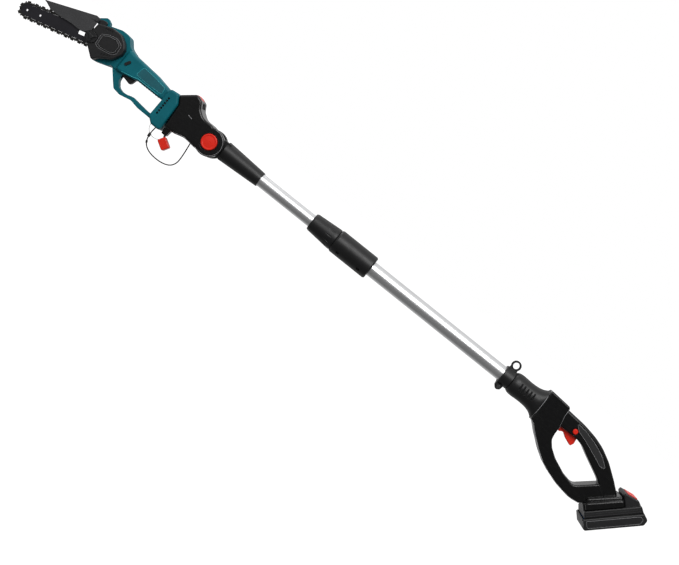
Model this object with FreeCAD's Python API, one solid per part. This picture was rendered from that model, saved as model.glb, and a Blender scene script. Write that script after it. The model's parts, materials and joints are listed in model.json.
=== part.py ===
import FreeCAD, Part
import math
import os

from FreeCAD import Vector

# A telescoping pole saw, in millimetres.
# The origin is the centre of the strap eyelet. +X runs along the pole towards the saw, +Z is the
# tool's top and +Y its left side, where the chain cover is.
# A place is given as (x, h): x along the pole and h above the pole's axis, which lies at z = POLE_Z.

# ------------------------------------------------------------------ driving dimensions
EYELET_RISE = 26.4
POLE_Z = -EYELET_RISE
EYELET_RADIUS = 6.0
EYELET_OUTER_RADIUS = 9.4
EYELET_HALF_WIDTH = 2.6

OUTER_TUBE_RADIUS = 14.0
OUTER_TUBE_BORE = 12.5
OUTER_TUBE_START = -95.0
OUTER_TUBE_END = 345.0
INNER_TUBE_RADIUS = 12.0
INNER_TUBE_BORE = 10.6
INNER_TUBE_START = 105.0
INNER_TUBE_END = 615.0
RUNNING_GAP = 0.05
SLIDE_OUT = 187.0
SLIDE_IN = 113.0

COLLAR_START = 311.0
COLLAR_END = 391.0
COLLAR_RADIUS = 22.5
COLLAR_NOSE_RADIUS = 16.5
COLLAR_NOSE_END = 419.0
NUT_END = 445.5
NUT_LARGE_RADIUS = 21.0
NUT_SMALL_RADIUS = 17.4

SLEEVE_START = 563.4
SLEEVE_SHOULDER = 646.0
SLEEVE_SMALL_RADIUS = 14.0
SLEEVE_LARGE_RADIUS = 19.0

PIVOT_X = 672.6
PIVOT_H = -3.5
EAR_RADIUS = 26.3
KNUCKLE_RADIUS = 22.0
KNUCKLE_HALF_WIDTH = 14.0
EAR_GAP = 0.6
AXLE_RADIUS = 6.0
PIVOT_BUTTON_RADIUS = 14.7
ADAPTER_HALF_WIDTH = 29.0

NECK_START = -9.5
NECK_END = -75.5
HOOP_HALF_WIDTH = 17.5
GRIP_HALF_WIDTH = 15.2
HANDLE_WALL = 2.8
FOOT_HALF_WIDTH = 34.0

BASE_X = -260.5
BASE_H = -88.1
BASE_TURN = 136.3
BATTERY_HALF_WIDTH = 36.0
BATTERY_FRONT = -21.0
BATTERY_REAR = 94.0
BATTERY_PARTING = 11.0
BATTERY_BOTTOM = 32.0
RAIL_HALF_WIDTH = 24.0
RAIL_GAP = 0.4
BUTTON_SPAN = (2.2, 21.2)
BUTTON_HALF_WIDTH = 19.0
BUTTON_PROUD = 1.2

STUD_X = 950.6
STUD_H = 11.4
STUD_RADIUS = 3.25
BAR_TURN = -15.7
BAR_LOW_Y = 12.0
BAR_HIGH_Y = 15.5
BAR_HALF_HEIGHT = 13.0
BAR_NOSE_ALONG = 126.6
BAR_NOSE_RADIUS = 10.5
SPROCKET_ALONG = -36.0
CHAIN_DEPTH = 3.6
CHAIN_PITCH = 6.35

SAW_GRIP_HALF_WIDTH = 16.5
SAW_RIGHT_Y = -24.0
SAW_LEFT_Y = 9.5
SAW_WALL = 2.7
LOOP_HALF_WIDTH = 7.9
SLAB_HALF_WIDTH = 32.0
COVER_Y = 26.0
COVER_WALL = 2.5

GEAR_MODULE = 1.0
GEAR_TEETH = 36
PINION_TEETH = 12
GEAR_LOW_Y = -1.5
GEAR_HIGH_Y = 4.0
SHAFT_RADIUS = 4.0
SPROCKET_TEETH = 7
NOSE_TEETH = 8

SCREW_RADIUS = 1.5
SCREW_HEAD_RADIUS = 3.0
BOSS_RADIUS = 4.4
PIN_RADIUS = 2.0

CORD_RADIUS = 1.1
WIRE_RADIUS = 0.4


# ------------------------------------------------------------------ helpers
def at(x, h, y=0.0):
    """A point of the row frame from its place along and above the pole's axis."""
    return Vector(x, y, POLE_Z + h)


def slanted(x, h, degrees):
    """A mapping like at() whose first number runs along a line turned by that angle from +X."""
    cosine = math.cos(math.radians(degrees))
    sine = math.sin(math.radians(degrees))

    def place(along, up, y=0.0):
        return at(x + along * cosine - up * sine, h + along * sine + up * cosine, y)

    return place


on_base = slanted(BASE_X, BASE_H, BASE_TURN)
on_bar = slanted(STUD_X, STUD_H, BAR_TURN)


def slope_mapping():
    """Along the slope of the battery's hump, from its foot to its top."""
    foot = on_base(83.0, -10.0)
    top = on_base(64.0, -23.5)
    turn = math.degrees(math.atan2(top.z - foot.z, top.x - foot.x))
    return slanted(foot.x, foot.z - POLE_Z, turn)


on_slope = slope_mapping()


def rounded_wire(points, radius, y, place=at):
    """Closed outline in a plane of constant y. Its corners are rounded by the radius, or by the
    third number of a point that has its own."""
    corners = [place(p[0], p[1], y) for p in points]
    cuts = []
    for i, corner in enumerate(corners):
        back = corners[i - 1] - corner
        onward = corners[(i + 1) % len(corners)] - corner
        half_angle = back.getAngle(onward) / 2
        wanted = points[i][2] if len(points[i]) > 2 else radius
        reach = min(wanted / math.tan(half_angle), 0.495 * min(back.Length, onward.Length))
        if reach < 0.05:
            cuts.append((corner, None, corner))
            continue
        bend = reach * math.tan(half_angle)
        inward = (back.normalize() + onward.normalize()).normalize()
        start = corner + back * reach
        end = corner + onward * reach
        middle = corner + inward * (bend / math.sin(half_angle) - bend)
        cuts.append((start, middle, end))
    edges = []
    for i, (start, middle, end) in enumerate(cuts):
        if middle is not None:
            edges.append(Part.Arc(start, middle, end).toShape())
        following = cuts[(i + 1) % len(cuts)][0]
        if (following - end).Length > 1e-4:
            edges.append(Part.makeLine(end, following))
    return Part.Wire(edges)


def plate(points, radius, y_low, y_high, edge=0.0, place=at):
    """A solid with that outline between two values of y, its end edges rounded by edge."""
    face = Part.Face(rounded_wire(points, radius, y_low, place))
    solid = face.extrude(Vector(0, y_high - y_low, 0))
    if edge <= 0:
        return solid
    return eased(solid, edge, (y_low, y_high))


def inset(points, radius, wall, y_low, y_high, place=at):
    """The solid that fits inside the same outline with a wall's thickness left all round."""
    face = Part.Face(rounded_wire(points, radius, y_low, place))
    return face.makeOffset2D(-wall).extrude(Vector(0, y_high - y_low, 0))


def eased(solid, radius, levels):
    """The solid with its edges in the planes y = levels rounded."""
    chosen = []
    for edge in solid.Edges:
        box = edge.BoundBox
        if any(abs(box.YMin - y) < 1e-4 and abs(box.YMax - y) < 1e-4 for y in levels):
            chosen.append(edge)
    return solid.makeFillet(radius, chosen)


def block(x_low, x_high, h_low, h_high, y_low, y_high, place=at):
    """A plain box, along the axes of its mapping."""
    corners = [(x_low, h_low), (x_high, h_low), (x_high, h_high), (x_low, h_high)]
    ring = [place(x, h, y_low) for x, h in corners]
    return Part.Face(Part.makePolygon(ring + ring[:1])).extrude(Vector(0, y_high - y_low, 0))


def rod_y(x, h, radius, y_low, y_high):
    """A cylinder along Y."""
    return Part.makeCylinder(radius, y_high - y_low, at(x, h, y_low), Vector(0, 1, 0))


def rod_x(radius, x_low, x_high):
    """A cylinder on the pole's axis."""
    return Part.makeCylinder(radius, x_high - x_low, at(x_low, 0), Vector(1, 0, 0))


def turned_x(profile):
    """A solid turned about the pole's axis from its (x, radius) outline."""
    ring = [at(x, radius) for x, radius in profile]
    return Part.Face(Part.makePolygon(ring + ring[:1])).revolve(at(0, 0), Vector(1, 0, 0), 360)


def turned_y(x, h, profile):
    """A solid turned about a line along Y from its (y, radius) outline."""
    ring = [at(x + radius, h, y) for y, radius in profile]
    return Part.Face(Part.makePolygon(ring + ring[:1])).revolve(at(x, h), Vector(0, 1, 0), 360)


def joined(*shapes):
    """The union of the solids, as one clean solid."""
    whole = shapes[0].fuse(list(shapes[1:])).removeSplitter()
    return whole.Solids[0] if len(whole.Solids) == 1 else whole


def less(solid, *tools):
    """The solid with the tools cut away."""
    left = solid.cut(list(tools)).removeSplitter()
    return left.Solids[0] if len(left.Solids) == 1 else left


def left_half(solid):
    """What lies on the tool's left of its middle plane."""
    return solid.common(Part.makeBox(2000, 100, 500, Vector(-500, 0, -300)))


def right_half(solid):
    """What lies on the tool's right of its middle plane."""
    return solid.common(Part.makeBox(2000, 100, 500, Vector(-500, -100, -300)))


def pressed_spring(x, h, radius, wire, y_low, y_high, turns):
    """A compression spring along Y with its coils pressed against each other, so it is one grooved sleeve."""
    pitch = (y_high - y_low) / turns
    outer = []
    inner = []
    for turn in range(turns):
        start = y_low + turn * pitch
        outer += [(radius + wire * 0.5, start), (radius + wire, start + pitch * 0.5)]
        inner += [(radius - wire * 0.5, start), (radius - wire, start + pitch * 0.5)]
    outer.append((radius + wire * 0.5, y_high))
    inner.append((radius - wire * 0.5, y_high))
    outline = [Vector(reach, y, 0) for reach, y in outer + inner[::-1]]
    face = Part.Face(Part.makePolygon(outline + outline[:1]))
    spring = face.revolve(Vector(0, 0, 0), Vector(0, 1, 0), 360)
    spring.translate(at(x, h))
    return spring


def screw(x, h, head_y, tip_y):
    """A case screw along Y, its head at the right."""
    shank = rod_y(x, h, SCREW_RADIUS, head_y, tip_y)
    return joined(shank, rod_y(x, h, SCREW_HEAD_RADIUS, head_y, head_y + 2.0))


def screw_space(x, h, head_y, tip_y):
    """The hole that a case screw needs, its counterbore open to the right."""
    hole = rod_y(x, h, SCREW_RADIUS, head_y, tip_y)
    return joined(hole, rod_y(x, h, SCREW_HEAD_RADIUS, head_y - 20.0, head_y + 2.0))


def gear_outline(teeth, module, x, h, y, phase):
    """Outline of an involute gear with short teeth and some backlash."""
    pressure = math.radians(20.0)
    pitch_radius = module * teeth / 2
    base_radius = pitch_radius * math.cos(pressure)
    tip_radius = pitch_radius + 0.75 * module
    root_radius = pitch_radius - 1.05 * module
    half_tooth = math.pi / (2 * teeth) - 0.12 * module / pitch_radius
    to_pitch = math.tan(pressure) - pressure
    low = max(base_radius, root_radius + 0.05)
    points = []
    for tooth in range(teeth):
        centre = phase + 2 * math.pi * tooth / teeth
        flank = []
        for step in range(4):
            radius = low + (tip_radius - low) * step / 3
            angle = math.acos(min(1.0, base_radius / radius))
            flank.append((radius, half_tooth + to_pitch - (math.tan(angle) - angle)))
        gap_side = flank[0][1]
        points.append((root_radius, centre - gap_side))
        points.extend((radius, centre - offset) for radius, offset in flank)
        points.extend((radius, centre + offset) for radius, offset in reversed(flank))
        points.append((root_radius, centre + gap_side))
    ring = [at(x + r * math.cos(a), h + r * math.sin(a), y) for r, a in points]
    return Part.Face(Part.makePolygon(ring + ring[:1]))


def star(teeth, root_radius, tip_radius, x, h, y_low, y_high):
    """A sprocket blank with blunt pointed teeth."""
    ring = []
    for tooth in range(teeth):
        for share, radius in ((-0.30, root_radius), (-0.10, tip_radius), (0.10, tip_radius), (0.30, root_radius)):
            angle = 2 * math.pi * (tooth + share) / teeth
            ring.append(at(x + radius * math.cos(angle), h + radius * math.sin(angle), y_low))
    return Part.Face(Part.makePolygon(ring + ring[:1])).extrude(Vector(0, y_high - y_low, 0))


def corded(name, route, radius):
    """A cord's solid: straight runs joined by tangent arcs, each as large as its two runs allow."""
    edges = []
    radii = []
    length = 0.0
    start = route[0]
    for before, corner, after in zip(route, route[1:], route[2:]):
        back = before - corner
        onward = after - corner
        half_angle = back.getAngle(onward) / 2
        reach = 0.45 * min(back.Length, onward.Length)
        bend = reach * math.tan(half_angle)
        inward = (back.normalize() + onward.normalize()).normalize()
        first = corner + back * reach
        last = corner + onward * reach
        middle = corner + inward * (bend / math.sin(half_angle) - bend)
        edges.append(Part.LineSegment(start, first).toShape())
        edges.append(Part.Arc(first, middle, last).toShape())
        length += (first - start).Length + bend * (math.pi - 2 * half_angle)
        radii.append(round(bend, 1))
        start = last
    edges.append(Part.LineSegment(start, route[-1]).toShape())
    length += (route[-1] - start).Length
    section = Part.Wire(Part.makeCircle(radius, route[0], route[1] - route[0]))
    tube = Part.Wire(edges).makePipeShell([section], True, True)
    share = tube.Volume / (math.pi * radius**2 * length)
    print(name, "length", round(length, 1), "radii", radii, "volume share", round(share, 4))
    return tube


def export(name, *solids):
    """Writes one node."""
    shape = solids[0] if len(solids) == 1 else Part.makeCompound(list(solids))
    if not shape.isValid():
        print("not valid:", name)
    shape.exportStep(f"parts/{name}.step")


# ------------------------------------------------------------------ telescope
def make_tubes():
    export("outer_tube", turned_x([
        (OUTER_TUBE_START, OUTER_TUBE_BORE), (OUTER_TUBE_END, OUTER_TUBE_BORE),
        (OUTER_TUBE_END, OUTER_TUBE_RADIUS), (OUTER_TUBE_START, OUTER_TUBE_RADIUS)]))
    export("inner_tube", turned_x([
        (INNER_TUBE_START, INNER_TUBE_BORE), (INNER_TUBE_END, INNER_TUBE_BORE),
        (INNER_TUBE_END, INNER_TUBE_RADIUS), (INNER_TUBE_START, INNER_TUBE_RADIUS)]))
    slide_radius = OUTER_TUBE_BORE - RUNNING_GAP
    plug_start = INNER_TUBE_START - 6.0
    spigot_end = INNER_TUBE_START + 15.0
    export("tube_stop_plug", turned_x([
        (plug_start, 8.0), (plug_start, slide_radius), (INNER_TUBE_START, slide_radius),
        (INNER_TUBE_START, INNER_TUBE_BORE), (spigot_end, INNER_TUBE_BORE), (spigot_end, 8.0)]))
    bush_start = INNER_TUBE_START + SLIDE_OUT + 2.0
    bush_bore = INNER_TUBE_RADIUS + RUNNING_GAP
    export("guide_bush", turned_x([
        (bush_start, bush_bore), (OUTER_TUBE_END, bush_bore),
        (OUTER_TUBE_END, OUTER_TUBE_BORE), (bush_start, OUTER_TUBE_BORE)]))


def make_lock():
    nose_bore = INNER_TUBE_RADIUS + 0.6
    collar = turned_x([
        (COLLAR_START, OUTER_TUBE_RADIUS), (COLLAR_START, COLLAR_RADIUS - 2.0),
        (COLLAR_START + 2.5, COLLAR_RADIUS), (COLLAR_END - 3.0, COLLAR_RADIUS),
        (COLLAR_END, COLLAR_RADIUS - 1.0), (COLLAR_END, COLLAR_NOSE_RADIUS),
        (COLLAR_NOSE_END, COLLAR_NOSE_RADIUS), (COLLAR_NOSE_END, nose_bore),
        (OUTER_TUBE_END, nose_bore), (OUTER_TUBE_END, OUTER_TUBE_RADIUS)])
    down_left = Vector(0, math.cos(math.radians(42)), -math.sin(math.radians(42)))
    dimples = [Part.makeCylinder(3.6, 6.0, at(x, 0) + down_left * (COLLAR_RADIUS - 2.4), down_left)
               for x in (COLLAR_START + 18.0, COLLAR_END - 16.0)]
    export("lock_collar", less(collar, *dimples))
    collet_end = NUT_END - 7.2
    collet_radius = 14.7
    collet = turned_x([
        (COLLAR_NOSE_END, INNER_TUBE_RADIUS + RUNNING_GAP), (collet_end, INNER_TUBE_RADIUS + RUNNING_GAP),
        (collet_end, collet_radius), (COLLAR_NOSE_END, collet_radius)])
    slit = block(COLLAR_NOSE_END - 1, collet_end + 1, 0, 20, -1.0, 1.0)
    export("clamp_collet", less(collet, slit))
    nut_start = COLLAR_END + 0.4
    nut = turned_x([
        (nut_start, COLLAR_NOSE_RADIUS + 0.1), (nut_start, NUT_LARGE_RADIUS - 1.0),
        (nut_start + 1.5, NUT_LARGE_RADIUS), (nut_start + 6.0, NUT_LARGE_RADIUS),
        (NUT_END - 3.0, NUT_SMALL_RADIUS), (NUT_END, NUT_SMALL_RADIUS - 1.6), (NUT_END, 12.9),
        (collet_end + 0.3, 12.9), (collet_end + 0.3, collet_radius + 0.15),
        (COLLAR_NOSE_END + 0.5, collet_radius + 0.15), (COLLAR_NOSE_END + 0.5, COLLAR_NOSE_RADIUS + 0.1)])
    flutes = []
    for step in range(12):
        angle = 2 * math.pi * step / 12
        outward = Vector(0, math.cos(angle), math.sin(angle))
        flutes.append(Part.makeCylinder(1.6, 34.0, at(nut_start + 9.0, 0) + outward * 21.2, Vector(1, 0, 0)))
    export("lock_nut", less(nut, *flutes))


def make_sleeve():
    cone = turned_x([
        (SLEEVE_START, INNER_TUBE_RADIUS), (SLEEVE_START, SLEEVE_SMALL_RADIUS),
        (SLEEVE_START + 8.0, SLEEVE_SMALL_RADIUS + 0.6), (SLEEVE_SHOULDER, SLEEVE_LARGE_RADIUS),
        (SLEEVE_SHOULDER, 0.0), (INNER_TUBE_END, 0.0), (INNER_TUBE_END, INNER_TUBE_RADIUS)])
    tongue = block(SLEEVE_SHOULDER - 6, PIVOT_X, PIVOT_H - 14.0, PIVOT_H + 20.0,
                   -KNUCKLE_HALF_WIDTH, KNUCKLE_HALF_WIDTH)
    knuckle = rod_y(PIVOT_X, PIVOT_H, KNUCKLE_RADIUS, -KNUCKLE_HALF_WIDTH, KNUCKLE_HALF_WIDTH)
    bore = rod_y(PIVOT_X, PIVOT_H, AXLE_RADIUS + RUNNING_GAP, -20, 20)
    screw_places = (SLEEVE_START + 14.0, SLEEVE_START + 32.0)
    holes = [Part.makeCylinder(1.6, 8.0, at(x, -INNER_TUBE_BORE), Vector(0, 0, -1)) for x in screw_places]
    heads = [Part.makeCylinder(2.8, 8.0, at(x, -SLEEVE_SMALL_RADIUS + 0.4), Vector(0, 0, -1))
             for x in screw_places]
    export("head_sleeve", less(joined(cone, tongue, knuckle), bore, *holes, *heads))
    screws = []
    for x in screw_places:
        shank = Part.makeCylinder(1.55, 2.8, at(x, -SLEEVE_SMALL_RADIUS + 0.4), Vector(0, 0, 1))
        head = Part.makeCylinder(2.7, 1.2, at(x, -SLEEVE_SMALL_RADIUS + 0.4), Vector(0, 0, -1))
        screws.append(less(joined(shank, head), rod_x(INNER_TUBE_RADIUS, SLEEVE_START, INNER_TUBE_END)))
    export("sleeve_screws", *screws)


# ------------------------------------------------------------------ rear handle
GUARD_OUTER = [(-249.7, -89.4, 5), (-235.7, -94.2, 14), (-215.3, -97.4, 60), (-179, -91.5, 80),
               (-141.2, -77.7, 80), (-99.1, -47.6, 60), (-84.2, -33.9, 14), (-75.5, -29.9, 4)]
GUARD_INNER = [(-125.9, -13.1, 5), (-126.7, -33.4, 18), (-137.7, -46.6, 30), (-154.2, -57.8, 60),
               (-184, -70.5, 50), (-208.8, -75.1, 14), (-243.9, -44.1, 3), (-263.7, -56.8, 3)]
HOOP = [(-75.5, 32.4, 4), (-118.7, 29.3, 4)] + GUARD_INNER + GUARD_OUTER
GRIP = [(-108.5, 24.5, 6), (-160.5, 20.8, 90), (-187.8, 15.8, 90), (-209.5, 8.8, 80), (-234.4, -4.4, 80),
        (-261.6, -24.3, 20), (-284.8, -43.6, 8), (-268.2, -65, 8), (-253.2, -57.3, 6), (-239.9, -42.5, 30),
        (-225.8, -35.2, 60), (-194.9, -20.1, 60), (-178.5, -11.3, 20), (-164.6, -8, 10),
        (-126.6, -8, 6), (-110.7, -10, 6)]
HANDLE_SCREWS = [(-108.8, 20.5), (-186.6, -9), (-241.1, -31.4), (-144.2, -65), (-208.6, -87.8)]
TRIGGER_PIVOT = (-132.2, -2.4)
REAR_LOCK = (-152.3, 1.2)
REAR_LOCK_RADIUS = 4.8


def make_neck():
    sections = []
    for x, high, wide in [(NECK_START, 17.6, 17.4), (-13.5, 20.2, 20.0), (-18.5, 21.3, 21.0),
                          (-45.0, 20.8, 20.5), (-57.0, 21.8, 20.8), (-68.0, 25.2, 20.6), (NECK_END, 30.8, 19.0)]:
        ellipse = Part.Ellipse(at(x, high), at(x, 0, wide), at(x, 0))
        sections.append(Part.Wire(ellipse.toShape()))
    body = Part.makeLoft(sections, True, False)
    grooves = []
    for step in range(5):
        x = -27.0 - 7.0 * step
        for side in (-1, 1):
            groove = Part.makeBox(3.0, 4.0, 14.0, Vector(x - 1.5, 18.6 if side > 0 else -22.6, POLE_Z - 5.0))
            grooves.append(groove)
    bore = rod_x(OUTER_TUBE_RADIUS, NECK_END - 5, NECK_START + 5)
    export("neck_sleeve", less(body, bore, *grooves))


def make_handle():
    hoop = plate(HOOP, 5, -HOOP_HALF_WIDTH, HOOP_HALF_WIDTH, 3.0)
    grip = plate(GRIP, 6, -GRIP_HALF_WIDTH, GRIP_HALF_WIDTH, 5.0)
    foot_top = plate([(-9, -22, 6), (56, -20, 6), (56, -12, 2), (-9, -12, 2)], 5, -26, 26, 3.5, on_base)
    foot = plate([(-13, -16, 5), (56, -15, 5), (56, -2, 4), (-13, -2, 4)], 5,
                 -FOOT_HALF_WIDTH, FOOT_HALF_WIDTH, 3.5, on_base)
    room = HOOP_HALF_WIDTH - HANDLE_WALL
    hollow_hoop = inset(HOOP, 5, HANDLE_WALL, -room, room)
    grip_room = GRIP_HALF_WIDTH - HANDLE_WALL
    hollow_grip = inset(GRIP, 6, HANDLE_WALL, -grip_room, grip_room)
    whole = less(joined(hoop, grip, foot_top, foot), hollow_grip, hollow_hoop)
    ties = [rod_y(x, h, BOSS_RADIUS, -room, room) for x, h in HANDLE_SCREWS]
    pin_ties = rod_y(*TRIGGER_PIVOT, 3.6, -grip_room - 1, grip_room + 1)
    trigger_gap = block(-169, -124.5, -34, 8.2, -6.6, 6.6)
    floor_top = plate([(-9, -21.9, 5), (56, -19.9, 5), (56, -12, 2), (-9, -12, 2)], 5, -22, 22, 0, on_base)
    floor = plate([(-13, -15.9, 4), (56, -14.9, 4), (56, -2, 4), (-13, -2, 4)], 4,
                  -FOOT_HALF_WIDTH + 4, FOOT_HALF_WIDTH - 4, 0, on_base)
    whole = joined(whole, *ties, pin_ties, floor_top, floor)
    rail = block(-30, 58, -13.5 - RAIL_GAP, 2, -RAIL_HALF_WIDTH - RAIL_GAP, RAIL_HALF_WIDTH + RAIL_GAP, on_base)
    spaces = [screw_space(x, h, -14.2, 9.0) for x, h in HANDLE_SCREWS]
    pin_hole = rod_y(*TRIGGER_PIVOT, PIN_RADIUS, -11.5, 11.5)
    tube_hole = rod_x(OUTER_TUBE_RADIUS, OUTER_TUBE_START, -70)
    button_hole = rod_y(*REAR_LOCK, REAR_LOCK_RADIUS + 0.15, 5, 30)
    button_dish = rod_y(*REAR_LOCK, 7.7, GRIP_HALF_WIDTH - 1.4, 30)
    terminals = block(6, 34, -19.5, -13, -14, 14, on_base)
    whole = less(whole, rail, trigger_gap, pin_hole, tube_hole, button_hole, button_dish, terminals, *spaces)
    export("handle_shell_left", left_half(whole))
    export("handle_shell_right", right_half(whole))
    export("handle_screws", *[screw(x, h, -14.2, 9.0) for x, h in HANDLE_SCREWS])
    export("terminal_block", less(block(6, 34, -19.5, -14.2, -14, 14, on_base),
                                  *[block(8, 28, -15.6, -13, y - 0.8, y + 0.8, on_base) for y in (-8, 0, 8)]))
    pad = [(-145.1, 15.9, 4), (-169.3, 12.8, 50), (-193.7, 6.2, 50), (-216.3, -3.4, 40), (-235.2, -17.2, 8),
           (-225.4, -20.2, 6), (-203.8, -11.1, 40), (-178.1, -0.9, 40), (-157.7, 5.2, 20)]
    export("grip_pads", plate(pad, 5, GRIP_HALF_WIDTH, GRIP_HALF_WIDTH + 0.9),
           plate(pad, 5, -GRIP_HALF_WIDTH - 0.9, -GRIP_HALF_WIDTH))


def make_rear_controls():
    outline = [(-128, -6, 1), (-129.2, -17.7, 1.5), (-137.1, -12.1, 6), (-147.3, -19.2, 12), (-162.5, -25, 2.5),
               (-165.7, -17.2, 4), (-163.4, -4.4, 2), (-148.3, -3.9, 3), (-139, 1.7, 3), (-127.9, 2.7, 3)]
    body = plate(outline, 2, -5.8, 5.8, 1.2)
    export("rear_trigger", less(body, rod_y(*TRIGGER_PIVOT, PIN_RADIUS + RUNNING_GAP, -10, 10)))
    export("rear_trigger_pin", rod_y(*TRIGGER_PIVOT, PIN_RADIUS, -11.5, 11.5))
    case = plate([(-141.3, 4), (-162.8, 4), (-162.1, 14.9), (-140.6, 14.9)], 1, -8.0, 4.5)
    plunger = block(-154, -150, 2.6, 4.2, -3, 1)
    export("rear_switch", joined(case, plunger))
    button = turned_y(*REAR_LOCK, [(8.5, 0), (17.4, 0), (17.4, 3.8), (16.4, REAR_LOCK_RADIUS), (8.5, REAR_LOCK_RADIUS)])
    export("rear_lock_button", button)


def make_strap_ring():
    band = turned_x([(-9.2, OUTER_TUBE_RADIUS), (11.7, OUTER_TUBE_RADIUS), (11.7, 16.9), (10.6, 18),
                     (-8.1, 18), (-9.2, 16.9)])
    disc = rod_y(0, EYELET_RISE, EYELET_OUTER_RADIUS, -EYELET_HALF_WIDTH, EYELET_HALF_WIDTH)
    stem = plate([(-8.5, 15), (10, 15), (8.2, 20, 6), (7.4, 26), (-7.4, 26), (-7.4, 20, 6)], 0.5,
                 -EYELET_HALF_WIDTH, EYELET_HALF_WIDTH)
    ear = plate([(-4, -15), (11.5, -15), (10.5, -23, 4), (4.5, -29.5, 4), (-2.5, -25, 4)], 2, -6.2, 6.2, 1.5)
    eyelet = rod_y(0, EYELET_RISE, EYELET_RADIUS, -20, 20)
    tube = rod_x(OUTER_TUBE_RADIUS, -20, 20)
    gap = block(-20, 20, -32, -12, -0.9, 0.9)
    screw_hole = rod_y(3.3, -22.6, 2.1, -20, 20)
    export("strap_ring", less(joined(band, disc, stem, ear), eyelet, tube, gap, screw_hole))
    shank = rod_y(3.3, -22.6, 2.0, -9.4, 8.0)
    head = rod_y(3.3, -22.6, 3.5, 6.2, 9.2)
    nut = rod_y(3.3, -22.6, 3.4, -8.8, -6.2)
    export("strap_ring_screw", joined(shank, head, nut))


# ------------------------------------------------------------------ battery
def make_battery():
    lower = plate([(BATTERY_FRONT, BATTERY_PARTING, 1), (BATTERY_FRONT, BATTERY_BOTTOM, 5),
                   (BATTERY_REAR - 8, BATTERY_BOTTOM, 6), (BATTERY_REAR, BATTERY_BOTTOM - 8, 6),
                   (BATTERY_REAR - 5, BATTERY_PARTING, 1)], 2, -BATTERY_HALF_WIDTH, BATTERY_HALF_WIDTH, 0, on_base)
    lower = eased(lower, 3.0, (-BATTERY_HALF_WIDTH, BATTERY_HALF_WIDTH))
    lower_room = block(BATTERY_FRONT + 2.5, BATTERY_REAR - 10, BATTERY_PARTING, BATTERY_BOTTOM - 2.5, -33, 33, on_base)
    outward = on_base(0, 1) - on_base(0, 0)
    screw_starts = [on_base(along, BATTERY_BOTTOM - 1.0, y)
                    for along in (BATTERY_FRONT + 8.0, BATTERY_REAR - 20.0) for y in (-29.5, 29.5)]
    recesses = [Part.makeCylinder(2.6, 5.0, start, outward) for start in screw_starts]
    export("battery_case_lower", less(lower, lower_room, *recesses))
    export("battery_screws", *[Part.makeCylinder(2.6, 0.8, start, outward) for start in screw_starts])
    half = BATTERY_HALF_WIDTH - 1.5
    deck = plate([(BATTERY_FRONT + 5, -1.6, 3), (BATTERY_FRONT + 4, BATTERY_PARTING, 1),
                  (BATTERY_REAR - 5.5, BATTERY_PARTING, 1), (86, -1.6, 2)], 2, -half, half, 2.0, on_base)
    rail = plate([(BATTERY_FRONT + 5, -13.5, 3), (57, -13.5, 1), (57, 0, 1), (BATTERY_FRONT + 5, 0, 1)], 2,
                 -RAIL_HALF_WIDTH, RAIL_HALF_WIDTH, 1.5, on_base)
    hump = plate([(57, 0, 1), (57, -22, 3), (61, -25.6, 3), (64, -23.5, 3), (83, -10, 4), (86, 0, 1)], 2,
                 -28, 28, 2.5, on_base)
    upper_room = block(BATTERY_FRONT + 8, 78, 1.5, BATTERY_PARTING, -31, 31, on_base)
    button_room = slanted_button(0.4, 11.0)
    slots = [block(8, 57.1, -16, -8, y - 1.4, y + 1.4, on_base) for y in (-8, 0, 8)]
    export("battery_case_upper", less(joined(deck, rail, hump), upper_room, button_room, *slots))
    cells = []
    for step in range(5):
        along = BATTERY_FRONT + 15.0 + 18.8 * step
        centre = on_base(along, BATTERY_BOTTOM - 11.6, -32.0)
        cells.append(Part.makeCylinder(9.1, 64.0, centre, Vector(0, 1, 0)))
    export("battery_cells", *cells)
    export("battery_board", block(0, 70, 3.5, 5.1, -27, 27, on_base))
    export("battery_release_button", slanted_button(0.0, 7.5))


def slanted_button(gap, depth):
    """The release plate on the slope of the battery's hump, or the room for it."""
    low, high = BUTTON_SPAN
    body = block(low - gap, high + gap, -depth, BUTTON_PROUD, -BUTTON_HALF_WIDTH - gap, BUTTON_HALF_WIDTH + gap,
                 on_slope)
    if gap > 0:
        return joined(body, block(low - gap, high + gap, 0, 8, -BUTTON_HALF_WIDTH - gap, BUTTON_HALF_WIDTH + gap,
                                  on_slope))
    notch = block(low + 6, high - 6, 0.2, 8, -7, 7, on_slope)
    return less(body, notch)


# ------------------------------------------------------------------ tilting adapter
ADAPTER = [(752.6, -31, 4), (755.8, 13.4, 6), (765.6, 28.6, 5), (740, 49.5, 7), (727, 44.5, 7), (719.5, 32, 9),
           (707, 23, 20), (PIVOT_X, PIVOT_H + EAR_RADIUS, 30), (PIVOT_X, PIVOT_H - EAR_RADIUS + 1, 20),
           (713, -25.4, 30), (731, -30.8, 20)]
ADAPTER_SCREWS = [(735, -21), (742, 28), (712, 0)]
ADAPTER_BUTTON = (730.0, 747.0, 39.0, 49.6)


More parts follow.
